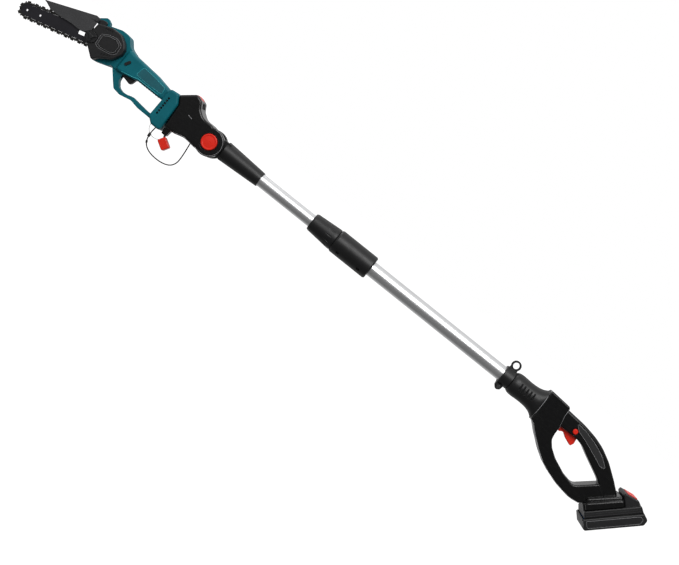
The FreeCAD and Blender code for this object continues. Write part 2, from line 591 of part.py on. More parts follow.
def make_adapter():
    body = plate(ADAPTER, 5, -ADAPTER_HALF_WIDTH, ADAPTER_HALF_WIDTH, 4.0)
    ears = eased(rod_y(PIVOT_X, PIVOT_H, EAR_RADIUS, -ADAPTER_HALF_WIDTH, ADAPTER_HALF_WIDTH), 2.5,
                 (-ADAPTER_HALF_WIDTH, ADAPTER_HALF_WIDTH))
    room = ADAPTER_HALF_WIDTH - 3.0
    hollow = inset(ADAPTER, 5, 3.0, -room, room).common(block(700, 800, -60, 60, -60, 60))
    gap = KNUCKLE_HALF_WIDTH + EAR_GAP
    slot = block(600, PIVOT_X + 10, -60, 60, -gap, gap)
    knuckle_room = rod_y(PIVOT_X, PIVOT_H, KNUCKLE_RADIUS + 1.0, -gap, gap)
    axle_hole = rod_y(PIVOT_X, PIVOT_H, AXLE_RADIUS, -18, 18)
    whole = less(joined(body, ears), hollow, slot, knuckle_room, axle_hole)
    for side in (-1, 1):
        floor_y, face_y = sorted((side * 18.0, side * 40.0))
        ring_y, ring_face = sorted((side * (ADAPTER_HALF_WIDTH - 1.6), side * 40.0))
        whole = less(whole, rod_y(PIVOT_X, PIVOT_H, PIVOT_BUTTON_RADIUS + 0.2, floor_y, face_y),
                     rod_y(PIVOT_X, PIVOT_H, 17.3, ring_y, ring_face))
    ties = [rod_y(x, h, BOSS_RADIUS, -room - 1, room + 1) for x, h in ADAPTER_SCREWS]
    spaces = [screw_space(x, h, -26.5, 16.0) for x, h in ADAPTER_SCREWS]
    connector_hole = block(748, 775, -18.2, 8.2, -16.2, 16.2)
    x_low, x_high, h_low, h_high = ADAPTER_BUTTON
    button_hole = block(x_low - 0.4, x_high + 0.4, h_low - 3.2, h_high + 20, -12.4, 12.4)
    peg = plate([(739, -29.4, 1), (752, -29.4, 1), (751, -44.2, 2), (741, -44.2, 2)], 1, 3, 17)
    saw_base = plate(SLAB, 5, -60, 60)
    peg_pin = Part.makeCylinder(2.0, 9.0, at(745.0, -43.0, 10.0), Vector(-0.45, 0, -0.89))
    whole = less(joined(whole, *ties, peg, peg_pin), connector_hole, button_hole, saw_base, *spaces)
    export("adapter_shell_left", left_half(whole))
    export("adapter_shell_right", right_half(whole))
    export("adapter_screws", *[screw(x, h, -26.5, 16.0) for x, h in ADAPTER_SCREWS])
    body = block(748, 770, -18.2, 8.2, -16.2, 16.2)
    contacts = [block(760, 771, -12, 2, y - 1, y + 1) for y in (-9, 0, 9)]
    export("adapter_connector", less(body, *contacts))
    export("pivot_axle", rod_y(PIVOT_X, PIVOT_H, AXLE_RADIUS, -18, 18))
    button = plate([(x_low, h_low, 1), (x_high, h_low, 1), (x_high, h_high - 4.4, 1.5), (x_high - 6.5, h_high, 5),
                    (x_low, h_high - 3.4, 1.5)], 1, -12, 12)
    export("adapter_release_button", button)
    for name, side in (("pivot_button_right", -1), ("pivot_button_left", 1)):
        face = side * (ADAPTER_HALF_WIDTH + 3.0)
        inner = side * 22.0
        shape = turned_y(PIVOT_X, PIVOT_H, [(inner, 9.0), (inner, PIVOT_BUTTON_RADIUS),
                                            (face - side * 1.6, PIVOT_BUTTON_RADIUS),
                                            (face, PIVOT_BUTTON_RADIUS - 2.2), (face, 0), (face - side * 3.5, 0),
                                            (face - side * 3.5, 9.0)])
        export(name, shape)
    export("pivot_springs", pressed_spring(PIVOT_X, PIVOT_H, 6.8, 0.6, 18.8, 24.0, 4),
           pressed_spring(PIVOT_X, PIVOT_H, 6.8, 0.6, -24.0, -18.8, 4))


# ------------------------------------------------------------------ mini chainsaw
HEAD = [(961, 21, 10), (957, 36, 5), (951, 43.5, 5), (918, 54.8, 10), (901, 53, 9), (890.5, 40.5, 12),
        (875, 34.5, 8), (868, 33.5, 4), (868, -6.5, 4), (884, -7.2, 6), (898, -6.8, 2), (901, -10.8, 2),
        (930, -20.5, 5), (946, -6, 8), (960, 1, 8)]
SAW_GRIP = [(886.5, 39, 6), (872, 34.8, 20), (820.3, 30.9, 60), (780, 23.2, 6), (780, 1.3, 6), (842, 1.3, 12),
            (850, -1.5, 12), (878, -6.5, 6.5), (886.5, -6, 6.5)]
LOOP = [(897, -4, 2), (876, -28, 12), (868.5, -36, 6), (854, -38.4, 12), (842, -36, 16), (831, -33.5, 16), (813.7, -36.9, 16),
        (781, -37.5, 1), (781, -30.3, 1), (798, -30.3, 12), (820, -28, 14), (832.5, -26.5, 14), (843.5, -30, 10),
        (853, -31.2, 12), (862.5, -28.5, 10), (869.5, -19.5, 10), (872, -3, 2)]
SLAB = [(785, -33, 6), (773, -42.6, 6), (754, -42.9, 5), (756.3, 13.6, 8), (766, 29.5, 6), (783.5, 28, 6)]
SAW_SCREWS = [(925, -10, -22.4, 7.8), (880, 32, -22.4, 7.8), (830, 16, -15.0, 15.0), (772, -28, -30.4, 30.4),
              (772, 17, -30.4, 30.4)]
SAW_TRIGGER_PIVOT = (876.0, 1.0)
MOTOR_X = 894.2
MOTOR_H = 11.2


def drive_centres():
    """Where the drive sprocket's shaft and the nose sprocket's rivet are."""
    shaft = on_bar(SPROCKET_ALONG, 0)
    nose = on_bar(BAR_NOSE_ALONG, 0)
    return (shaft.x, shaft.z - POLE_Z), (nose.x, nose.z - POLE_Z)


def make_saw_shells():
    (shaft_x, shaft_h), _ = drive_centres()
    head = plate(HEAD, 5, SAW_RIGHT_Y, SAW_LEFT_Y, 0)
    head = eased(head, 4.0, (SAW_RIGHT_Y,))
    grip = plate(SAW_GRIP, 6, -SAW_GRIP_HALF_WIDTH, SAW_GRIP_HALF_WIDTH, 5.5)
    loop = plate(LOOP, 10, -LOOP_HALF_WIDTH, LOOP_HALF_WIDTH, 0)
    slab = plate(SLAB, 5, -SLAB_HALF_WIDTH, SLAB_HALF_WIDTH, 4.0)
    lug = plate([(968, 41.5, 4.5), (964, 47.4, 4.5), (953.5, 55.5, 3), (944.5, 51, 3), (941, 42, 3), (955, 34, 2),
                 (963.4, 36.9, 4.5)], 3, -6, 7.6)
    head_room = inset(HEAD, 5, SAW_WALL, SAW_RIGHT_Y + SAW_WALL, SAW_LEFT_Y - SAW_WALL)
    grip_room = SAW_GRIP_HALF_WIDTH - SAW_WALL
    grip_hollow = inset(SAW_GRIP, 6, SAW_WALL, -grip_room, grip_room)
    slab_room = SLAB_HALF_WIDTH - SAW_WALL
    slab_hollow = inset(SLAB, 5, SAW_WALL, -slab_room, slab_room)
    whole = less(joined(head, grip, loop, slab, lug), head_room, grip_hollow, slab_hollow)
    ties = [rod_y(x, h, BOSS_RADIUS, right_y, left_y) for x, h, right_y, left_y in SAW_SCREWS]
    stud_tie = rod_y(STUD_X, STUD_H, 7.0, SAW_RIGHT_Y + 2, SAW_LEFT_Y + 2.5)
    shaft_tie = rod_y(shaft_x, shaft_h, 8.0, SAW_RIGHT_Y + 2, -8.0)
    pin_tie = rod_y(*SAW_TRIGGER_PIVOT, 3.4, SAW_RIGHT_Y + 1, grip_room + 1)
    whole = joined(whole, *ties, stud_tie, shaft_tie, pin_tie)
    trigger_gap = block(844.5, 882.5, -13.5, 7.5, -6.4, 6.4)
    pin_hole = rod_y(*SAW_TRIGGER_PIVOT, PIN_RADIUS, -13, 13)
    bearing_hole = rod_y(shaft_x, shaft_h, 8.0, 4.6, 20)
    stud_hole = rod_y(STUD_X, STUD_H, STUD_RADIUS, -12, 20)
    hinge_hole = rod_y(963.4, 41.5, PIN_RADIUS, -3, 20)
    lock_hole = plate(saw_lock_outline(0.2), 2.4, 8, 30)
    vents = []
    for step in range(7):
        h = -22.0 + 5.4 * step
        for y in (-SLAB_HALF_WIDTH - 2, SLAB_HALF_WIDTH - 5):
            vents.append(block(773.8 - 0.1 * step, 777.4 - 0.1 * step, h, h + 3.9, y, y + 7))
    spaces = [screw_space(x, h, right_y + 1, left_y - 3) for x, h, right_y, left_y in SAW_SCREWS]
    connector_hole = block(748, 762, -18.2, 8.2, -16.2, 16.2)
    whole = less(whole, trigger_gap, pin_hole, bearing_hole, stud_hole, hinge_hole, lock_hole, connector_hole,
                 *vents, *spaces)
    export("saw_shell_left", left_half(whole))
    export("saw_shell_right", right_half(whole))
    export("saw_screws", *[screw(x, h, right_y + 1, left_y - 3) for x, h, right_y, left_y in SAW_SCREWS])


def saw_lock_outline(gap):
    """The lock-off's oval, leaning back over the trigger."""
    tilted = slanted(873.8, 14.8, 117.7)
    ends = [tilted(-6 - gap, -2.5 - gap), tilted(6 + gap, -2.5 - gap), tilted(6 + gap, 2.5 + gap),
            tilted(-6 - gap, 2.5 + gap)]
    return [(p.x, p.z - POLE_Z) for p in ends]


def make_saw_controls():
    outline = [(879.5, -4, 2), (877.5, -8.6, 2), (864, -10.4, 10), (852.7, -13.2, 2), (849.2, -10, 2),
               (846.8, -1.5, 2), (848.5, 4.6, 1.5), (879.5, 5.5, 3)]
    body = plate(outline, 2, -5.8, 5.8, 1.2)
    export("saw_trigger", less(body, rod_y(*SAW_TRIGGER_PIVOT, PIN_RADIUS + RUNNING_GAP, -10, 10)))
    export("saw_trigger_pin", rod_y(*SAW_TRIGGER_PIVOT, PIN_RADIUS, -13, 13))
    case = plate([(849, 10), (869, 10), (869, 21), (849, 21)], 1, -9, 6)
    export("saw_switch", joined(case, block(853, 857, 8.8, 10, -3, 1)))
    export("saw_lock_button", plate(saw_lock_outline(0.0), 2.3, 11.0, SAW_GRIP_HALF_WIDTH + 1.6))


def make_drive():
    (shaft_x, shaft_h), (nose_x, nose_h) = drive_centres()
    shaft = rod_y(shaft_x, shaft_h, SHAFT_RADIUS, -8.0, BAR_HIGH_Y + 2.0)
    gear = gear_outline(GEAR_TEETH, GEAR_MODULE, shaft_x, shaft_h, GEAR_LOW_Y, 0.0)
    gear = gear.extrude(Vector(0, GEAR_HIGH_Y - GEAR_LOW_Y, 0))
    export("output_gear", joined(gear, shaft))
    toward = math.atan2(MOTOR_H - shaft_h, MOTOR_X - shaft_x)
    tooth = 2 * math.pi / GEAR_TEETH
    off_tooth = toward - tooth * round(toward / tooth)
    pinion_phase = toward + math.pi + math.pi / PINION_TEETH + off_tooth * GEAR_TEETH / PINION_TEETH
    distance = GEAR_MODULE * (GEAR_TEETH + PINION_TEETH) / 2
    motor_x = shaft_x + distance * math.cos(toward)
    motor_h = shaft_h + distance * math.sin(toward)
    pinion = gear_outline(PINION_TEETH, GEAR_MODULE, motor_x, motor_h, GEAR_LOW_Y, pinion_phase)
    pinion = pinion.extrude(Vector(0, GEAR_HIGH_Y - GEAR_LOW_Y, 0))
    export("motor_pinion", joined(pinion, rod_y(motor_x, motor_h, 1.5, -14.0, GEAR_HIGH_Y)))
    can = eased(rod_y(motor_x, motor_h, 14.5, -20.8, -3.0), 1.2, (-20.8, -3.0))
    export("motor", less(can, rod_y(motor_x, motor_h, 1.5 + RUNNING_GAP, -14.2, 0)))
    print("motor axis", round(motor_x, 3), round(motor_h + POLE_Z, 3), "shaft", round(shaft_x, 3),
          round(shaft_h + POLE_Z, 3), "nose", round(nose_x, 3), round(nose_h + POLE_Z, 3))
    bore = SHAFT_RADIUS + RUNNING_GAP
    export("shaft_bearings", turned_y(shaft_x, shaft_h, [(4.6, bore), (4.6, 8), (SAW_LEFT_Y, 8), (SAW_LEFT_Y, bore)]),
           turned_y(shaft_x, shaft_h, [(-8, bore), (-8, 7), (-5, 7), (-5, bore)]))
    drive = star(SPROCKET_TEETH, 7.5, 10.6, shaft_x, shaft_h, BAR_LOW_Y - 0.1, BAR_HIGH_Y + 0.1)
    export("drive_sprocket", less(drive, rod_y(shaft_x, shaft_h, SHAFT_RADIUS, 0, 30)))
    nose = star(NOSE_TEETH, 6.6, 9.2, nose_x, nose_h, 13.05, 14.45)
    export("nose_sprocket", less(nose, rod_y(nose_x, nose_h, 3.6 + RUNNING_GAP, 0, 30)))


def make_bar():
    _, (nose_x, nose_h) = drive_centres()
    outline = [(-17, 8, 6), (-8, BAR_HALF_HEIGHT, 8), (16, BAR_HALF_HEIGHT, 60), (BAR_NOSE_ALONG, BAR_NOSE_RADIUS, 0.1),
               (BAR_NOSE_ALONG, -BAR_NOSE_RADIUS, 0.1), (16, -BAR_HALF_HEIGHT, 60), (-8, -BAR_HALF_HEIGHT, 8),
               (-17, -8, 6)]
    blade = plate(outline, 1, BAR_LOW_Y, BAR_HIGH_Y, 0, on_bar)
    nose = rod_y(nose_x, nose_h, BAR_NOSE_RADIUS, BAR_LOW_Y, BAR_HIGH_Y)
    pocket = turned_y(nose_x, nose_h, [(12.95, 3.6), (12.95, 9.5), (14.55, 9.5), (14.55, 3.6)])
    rivet_hole = rod_y(nose_x, nose_h, 2.0, 0, 30)
    second = on_bar(101.5, 0.0)
    second_hole = rod_y(second.x, second.z - POLE_Z, 2.0, 0, 30)
    tail_slot = plate([(-6, -STUD_RADIUS - 0.1, 3.3), (28, -STUD_RADIUS - 0.1, 1.5), (28, STUD_RADIUS + 0.1, 1.5),
                       (-6, STUD_RADIUS + 0.1, 3.3)], 3, 0, 30, 0, on_bar)
    export("guide_bar", less(joined(blade, nose), pocket, rivet_hole, second_hole, tail_slot))
    export("bar_stud", rod_y(STUD_X, STUD_H, STUD_RADIUS, -12, 26.0))


def chain_outline(out):
    """The line round the sprocket, the bar and its nose, moved outwards."""
    rear = 11.9 + out
    nose = BAR_NOSE_RADIUS + 0.3 + out
    belly = BAR_HALF_HEIGHT + 0.4 + out
    return [(SPROCKET_ALONG - rear, -rear, rear), (SPROCKET_ALONG - rear, rear, rear), (-6, belly, 60),
            (18, belly, 80), (BAR_NOSE_ALONG + nose, nose, nose), (BAR_NOSE_ALONG + nose, -nose, nose),
            (18, -belly, 80), (-6, -belly, 60)]


def make_chain():
    low_y = BAR_LOW_Y - 0.3
    high_y = BAR_HIGH_Y + 0.3
    band = less(plate(chain_outline(CHAIN_DEPTH), 1, low_y, high_y, 0, on_bar),
                plate(chain_outline(0.0), 1, low_y, high_y, 0, on_bar))
    cutters = []
    for step in range(10):
        along = 2.0 * CHAIN_PITCH * step + 4.0
        drop = (BAR_HALF_HEIGHT - BAR_NOSE_RADIUS) * max(0.0, along - 16.0) / (BAR_NOSE_ALONG - 16.0)
        base = BAR_HALF_HEIGHT + 0.4 + CHAIN_DEPTH - 0.6 - drop
        for side in (-1, 1):
            tooth = [(along, side * base), (along + 8.0, side * base), (along + 7.0, side * (base + 1.8)),
                     (along + 5.2, side * (base + 1.2)), (along + 4.0, side * (base + 2.6)),
                     (along + 0.6, side * (base + 2.2))]
            cutters.append(plate(tooth, 0.05, low_y, high_y, 0, on_bar))
    export("saw_chain", joined(band, *cutters))


COVER = [(956, 38, 5), (930.6, 47.5, 6), (911, 47.7, 9), (898.5, 39.5, 8), (890.8, 30.6, 12), (889.2, 19.3, 12),
         (896.8, 4, 10), (918.5, -10, 6), (927.6, -20.3, 3.5), (946, -6, 5), (952, 0, 4), (957, 22, 6)]


def make_cover():
    body = plate(COVER, 5, SAW_LEFT_Y, COVER_Y, 0)
    body = eased(body, 2.5, (COVER_Y,))
    lug = rod_y(STUD_X, STUD_H, 12.8, 17.0, COVER_Y)
    room = inset(COVER, 5, COVER_WALL, SAW_LEFT_Y, COVER_Y - COVER_WALL)
    pad = rod_y(STUD_X, STUD_H, 8.0, BAR_HIGH_Y, COVER_Y - 1)
    mouth = block(-14, 60, -19.5, 19.5, SAW_LEFT_Y - 1, 17.0, on_bar)
    panel = plate([(899.5, 14, 7), (900, 30.5, 7), (912, 36, 8), (926, 33, 6), (938, 26, 3), (936, 7.5, 3),
                   (928, 5, 5), (908, 9, 7)], 4, COVER_Y - 1, COVER_Y + 1.4, 0)
    panel = eased(panel, 0.9, (COVER_Y + 1.4,))
    whole = less(joined(body, lug), room)
    whole = less(joined(whole, panel), mouth)
    bracket = plate([(945, 40.5, 2), (956.7, 38.2, 1), (956.7, 47.0, 3), (946, 49.5, 3)], 3, 10.0, 20.8, 0.8)
    whole = joined(whole, pad, bracket)
    stud_hole = rod_y(STUD_X, STUD_H, STUD_RADIUS + 0.2, 0, 40)
    knob_recess = rod_y(STUD_X, STUD_H, 11.0, COVER_Y - 2.4, 40)
    vents = []
    for step in range(4):
        x = 926.0 + 4.0 * step
        vents.append(block(x, x + 2.2, 39.0 - 0.6 * step, 43.4 - 0.9 * step, COVER_Y - 1.3, 40))
        x = 903.0 + 4.6 * step
        vents.append(block(x, x + 2.4, 2.6 - 2.0 * step, 6.6 - 2.0 * step, COVER_Y - 1.3, 40))
    export("chain_cover", less(whole, stud_hole, knob_recess, *vents))
    knob = turned_y(STUD_X, STUD_H, [(COVER_Y - 2.2, STUD_RADIUS + RUNNING_GAP), (COVER_Y - 2.2, 10.6),
                                     (COVER_Y + 1.4, 10.6), (COVER_Y + 2.4, 9.6), (COVER_Y + 2.4, 0),
                                     (COVER_Y + 0.3, 0), (COVER_Y + 0.3, STUD_RADIUS + RUNNING_GAP)])
    wing = plate([(-9, -2.2, 2), (9, -2.2, 2), (9, 2.2, 2), (-9, 2.2, 2)], 2, COVER_Y + 2.0, COVER_Y + 5.0, 0.8,
                 slanted(STUD_X, STUD_H, 40))
    export("cover_knob", joined(knob, wing))


def make_chip_guard():
    hinge_x, hinge_h = 963.4, 41.5
    flap = plate([(1057, 11.6, 1), (967.5, 47, 4), (960, 45.5, 3.5), (959.9, 22.5, 2), (963.6, 17, 3), (967, 12, 3),
                  (975.2, 8, 4), (995.9, 7.7, 20), (1026.3, 4.5, 20), (1039.7, 4.3, 2)], 2, 17.8, 20.0)
    rim = plate([(1057, 11.6, 0.5), (967.5, 47, 3), (966.5, 44.4, 1), (1055.5, 9.8, 0.5)], 0.5, 9.0, 20.0)
    barrel = joined(rod_y(hinge_x, hinge_h, 4.6, 8.0, 20.0),
                    plate([(959.9, 37.6, 3), (973, 36.6, 3), (974, 45.2, 3), (961.5, 46.8, 3)], 3, 8.2, 20.8, 0.8))
    bore = rod_y(hinge_x, hinge_h, PIN_RADIUS + RUNNING_GAP, 0, 30)
    keep_clear = block(940, 959.6, 20, 60, 5, 30)
    export("chip_guard", less(joined(flap, rim, barrel), bore, keep_clear))
    export("chip_guard_pin", joined(rod_y(hinge_x, hinge_h, PIN_RADIUS, -3, 22.4),
                                    rod_y(hinge_x, hinge_h, 3.2, 21.1, 22.4)))


# ------------------------------------------------------------------ lanyard
def make_lanyard():
    cord = [(703, -21.5, 0), (700.6, -38, 0), (698.6, -55, 0.5), (698.4, -70, 1), (705, -81, 1), (719, -86.5, 0.5),
            (735, -87.5, 0), (750, -85.5, 0), (762, -79, 0), (768, -68, 0), (769.4, -54.5, 0), (767.6, -41.5, 0)]
    route = [at(x, h, y) for x, h, y in cord]
    export("lanyard_cord", corded("lanyard_cord", route, CORD_RADIUS))
    low = Vector(*[(a + b) / 2 for a, b in zip(route[8], route[9])])
    low_way = (route[9] - route[8]).normalize()
    high_way = (route[10] - route[9]).normalize()
    high = route[9] + (route[10] - route[9]) * 0.5
    export("lanyard_ferrules",
           Part.makeCylinder(1.9, 5.0, low - low_way * 2.5, low_way),
           Part.makeCylinder(2.6, 7.0, high - high_way * 3.5, high_way))
    wire = [(773.5, -40.5, 27), (772.5, -48, 26.5), (768.5, -55, 22), (761, -59.5, 16), (753.5, -59.5, 12),
            (746.5, -55.5, 10)]
    route = [at(x, h, y) for x, h, y in wire]
    export("lanyard_wire", corded("lanyard_wire", route, WIRE_RADIUS))
    on_clip = slanted(736, -57, 31)
    export("trigger_clip", plate([(-10.5, -7.8, 3), (10.5, -7.8, 3), (10.5, 7.8, 3), (-10.5, 7.8, 3)], 3,
                                 2, 18, 2.0, on_clip))


def main():
    os.makedirs("parts", exist_ok=True)
    make_tubes()
    make_lock()
    make_sleeve()
    make_neck()
    make_handle()
    make_rear_controls()
    make_strap_ring()
    make_battery()
    make_adapter()
    make_saw_shells()
    make_saw_controls()
    make_drive()
    make_bar()
    make_chain()
    make_cover()
    make_chip_guard()
    make_lanyard()


main()
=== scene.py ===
import bpy, bmesh, json, math
from mathutils import Matrix, Vector


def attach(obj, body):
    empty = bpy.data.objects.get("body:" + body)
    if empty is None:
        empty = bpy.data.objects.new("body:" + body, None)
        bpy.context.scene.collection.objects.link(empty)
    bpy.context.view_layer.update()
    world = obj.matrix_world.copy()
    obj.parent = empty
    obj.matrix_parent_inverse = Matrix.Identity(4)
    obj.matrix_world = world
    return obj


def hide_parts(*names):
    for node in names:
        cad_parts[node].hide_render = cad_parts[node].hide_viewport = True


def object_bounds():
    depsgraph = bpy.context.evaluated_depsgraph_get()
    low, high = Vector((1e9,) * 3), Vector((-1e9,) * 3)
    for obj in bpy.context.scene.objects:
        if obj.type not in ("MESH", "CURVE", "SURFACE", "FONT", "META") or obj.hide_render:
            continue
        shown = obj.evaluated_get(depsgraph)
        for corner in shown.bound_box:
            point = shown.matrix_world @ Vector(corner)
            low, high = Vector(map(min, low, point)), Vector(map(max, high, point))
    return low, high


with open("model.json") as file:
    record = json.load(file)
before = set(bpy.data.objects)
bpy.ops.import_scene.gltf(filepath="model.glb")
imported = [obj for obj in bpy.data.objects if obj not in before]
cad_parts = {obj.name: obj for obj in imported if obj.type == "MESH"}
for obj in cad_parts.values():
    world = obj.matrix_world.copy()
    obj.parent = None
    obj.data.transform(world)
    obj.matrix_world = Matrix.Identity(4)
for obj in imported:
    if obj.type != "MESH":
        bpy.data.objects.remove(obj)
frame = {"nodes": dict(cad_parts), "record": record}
cad_low, cad_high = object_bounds()
nodes = frame["nodes"]
record = frame["record"]

# A place is given in millimetres as (x, h, y): x along the pole, h above its axis and y to the left.
POLE_Z = -26.4


def at(x, h, y=0.0):
    return Vector((x, y, POLE_Z + h)) / 1000.0


def slanted(x, h, degrees):
    """A mapping like at() whose first number runs along a line turned by that angle from +X."""
    cosine, sine = math.cos(math.radians(degrees)), math.sin(math.radians(degrees))
    return lambda along, up, y=0.0: at(x + along * cosine - up * sine, h + along * sine + up * cosine, y)


on_base = slanted(-260.5, -88.1, 136.3)
# The tilt's line and the bar's stud, both along Y.
PIVOT = (672.6, -3.5)
STUD = (950.6, 11.4)
on_bar = slanted(*STUD, -15.7)


# ------------------------------------------------------------------ camera
PICTURE_TURN = 38.70
CAMERA_DISTANCE = 2.1
VIEW_WIDTH = 1.2111
CAMERA_SHIFT = 0.08
SENSOR_WIDTH = 36.0


def make_camera():
    """A camera square to the pole, placed a little above the tool's middle and nearer to its rear handle.

    The shift, a part of the picture's width, keeps the tool in the middle of the picture.
    """
    turn = math.radians(PICTURE_TURN)
    right = Vector((-math.cos(turn), 0.0, math.sin(turn)))
    up = Vector((math.sin(turn), 0.0, math.cos(turn)))
    back = right.cross(up).normalized()
    data = bpy.data.cameras.new("camera")
    data.sensor_width = SENSOR_WIDTH
    data.lens = SENSOR_WIDTH * CAMERA_DISTANCE / VIEW_WIDTH
    data.shift_x = -CAMERA_SHIFT
    data.shift_y = -CAMERA_SHIFT
    data.clip_start = 0.1
    data.clip_end = 200.0
    camera = bpy.data.objects.new("camera", data)
    bpy.context.collection.objects.link(camera)
    aim = Vector((0.3465, 0.0, -0.0815)) + right * 0.0060 - up * 0.0043
    place = aim + (right + up) * (CAMERA_SHIFT * VIEW_WIDTH) + back * CAMERA_DISTANCE
    camera.matrix_world = Matrix.Translation(place) @ Matrix((right, up, back)).transposed().to_4x4()
    bpy.context.scene.camera = camera
    bpy.context.scene.view_settings.view_transform = "Standard"
    return right, up, back


SCREEN_RIGHT, SCREEN_UP, TOWARD_CAMERA = make_camera()


# ------------------------------------------------------------------ materials
class Tree:
    """A short way to write a node tree."""

    def __init__(self, name):
        self.material = bpy.data.materials.new(name)
        self.material.use_nodes = True
        self.tree = self.material.node_tree
        self.shader = self.tree.nodes["Principled BSDF"]
        self.place = self.node("ShaderNodeTexCoord").outputs["Object"]

    def node(self, kind, **settings):
        made = self.tree.nodes.new(kind)
        for key, value in settings.items():
            setattr(made, key, value)
        return made

    def link(self, output, socket):
        self.tree.links.new(output, socket)

    def scaled(self, x, y, z):
        mapping = self.node("ShaderNodeMapping")
        self.link(self.place, mapping.inputs["Vector"])
        mapping.inputs["Scale"].default_value = (x, y, z)
        return mapping.outputs["Vector"]

    def noise(self, scale, detail=3.0, rough=0.5, vector=None):
        made = self.node("ShaderNodeTexNoise")
        made.inputs["Scale"].default_value = scale
        made.inputs["Detail"].default_value = detail
        made.inputs["Roughness"].default_value = rough
        self.link(vector or self.place, made.inputs["Vector"])
        return made.outputs["Fac"]

    def cells(self, scale):
        made = self.node("ShaderNodeTexVoronoi", feature="F1")
        made.inputs["Scale"].default_value = scale
        self.link(self.place, made.inputs["Vector"])
        return made.outputs["Distance"]

    def ramp(self, value, low, high, start=0.0, end=1.0):
        made = self.node("ShaderNodeMapRange")
        made.inputs["From Min"].default_value = low
        made.inputs["From Max"].default_value = high
        made.inputs["To Min"].default_value = start
        made.inputs["To Max"].default_value = end
        self.link(value, made.inputs["Value"])
        return made.outputs["Result"]

    def math(self, operation, a, b):
        made = self.node("ShaderNodeMath", operation=operation)
        for socket, value in zip(made.inputs, (a, b)):
            if isinstance(value, (int, float)):
                socket.default_value = value
            else:
                self.link(value, socket)
        return made.outputs["Value"]

    def mix(self, factor, a, b):
        made = self.node("ShaderNodeMix", data_type="RGBA")
        self.link(factor, made.inputs[0])
        for socket, value in ((made.inputs[6], a), (made.inputs[7], b)):
            if isinstance(value, tuple):
                socket.default_value = (*value, 1.0)
            else:
                self.link(value, socket)
        return made.outputs[2]

    def rounded(self, radius):
        made = self.node("ShaderNodeBevel", samples=4)
        made.inputs["Radius"].default_value = radius
        return made.outputs["Normal"]

    def edges(self, normal):
        """1 on the sharp edges, 0 on the flats."""
        flat = self.node("ShaderNodeNewGeometry").outputs["Normal"]
        dot = self.node("ShaderNodeVectorMath", operation="DOT_PRODUCT")
        self.link(normal, dot.inputs[0])
        self.link(flat, dot.inputs[1])
        return self.ramp(dot.outputs["Value"], 0.995, 0.90)

    def bump(self, height, strength, distance, normal):
        made = self.node("ShaderNodeBump")
        made.inputs["Strength"].default_value = strength
        made.inputs["Distance"].default_value = distance
        self.link(height, made.inputs["Height"])
        self.link(normal, made.inputs["Normal"])
        return made.outputs["Normal"]

    def finish(self, colour, rough, normal, **constants):
        for value, name in ((colour, "Base Color"), (rough, "Roughness"), (normal, "Normal")):
            if value is not None:
                self.link(value, self.shader.inputs[name])
        for name, value in constants.items():
            self.shader.inputs[name.replace("_", " ").title().replace("Ior", "IOR")].default_value = value
        return self.material


def shade(colour, factor):
    return tuple(min(1.0, c * factor) for c in colour)


def plastic(name, colour, rough, grain=0.25, size=0.0005, edge_light=1.5, bevel=0.0007, shine=0.5):
    """Moulded plastic: a fine spark texture, slow changes of tone, faint scuffs and slightly polished edges.

    size is that of the texture's grains in metres, and edge_light how much lighter the edges are painted,
    partly as wear and partly as a painted highlight.
    """
    t = Tree(name)
    slow = t.ramp(t.noise(28.0, 3.0), 0.3, 0.7)
    body = t.mix(slow, shade(colour, 0.88), shade(colour, 1.14))
    soft = t.rounded(bevel)
    edge = t.math("MULTIPLY", t.edges(soft), 0.5)
    lit_worn_edges = t.math("MULTIPLY", edge, t.ramp(t.noise(160.0, 4.0, 0.6), 0.35, 0.65, 0.35, 1.0))
    # Lighter edges: partly wear, partly a painted highlight.
    body = t.mix(lit_worn_edges, body, shade(colour, edge_light))
    scuffs = t.noise(1.0, 5.0, 0.7, t.scaled(90.0, 420.0, 260.0))
    scuffed = t.ramp(scuffs, 0.35, 0.75, rough - 0.05, rough + 0.07)
    roughness = t.math("ADD", scuffed, t.math("MULTIPLY", edge, -0.08))
    pits = t.cells(1.0 / size)
    fine = t.noise(1.3 / size, 3.0, 0.6)
    height = t.math("ADD", t.math("MULTIPLY", pits, 0.6), fine)
    normal = t.bump(height, grain, size * 0.25, soft)
    return t.finish(body, roughness, normal, specular_ior_level=shine)


def metal(name, colour, rough, along=(6.0, 900.0, 900.0), brush=0.08, stains=0.9):
    """Metal with drawn or ground lines, faint stains and brighter edges.

    along is how often the lines change in each direction, per metre.
    """
    t = Tree(name)
    lines = t.noise(1.0, 4.0, 0.65, t.scaled(*along))
    slow = t.noise(22.0, 4.0, 0.6)
    body = t.mix(t.ramp(slow, 0.3, 0.75), shade(colour, 1.04), shade(colour, stains))
    body = t.mix(t.ramp(lines, 0.3, 0.7), body, shade(colour, 0.93))
    soft = t.rounded(0.0003)
    body = t.mix(t.math("MULTIPLY", t.edges(soft), 0.6), body, shade(colour, 1.6))
    roughness = t.ramp(lines, 0.3, 0.7, rough - brush, rough + brush)
    normal = t.bump(lines, 0.12, 0.00008, soft)
    return t.finish(body, roughness, normal, metallic=1.0)


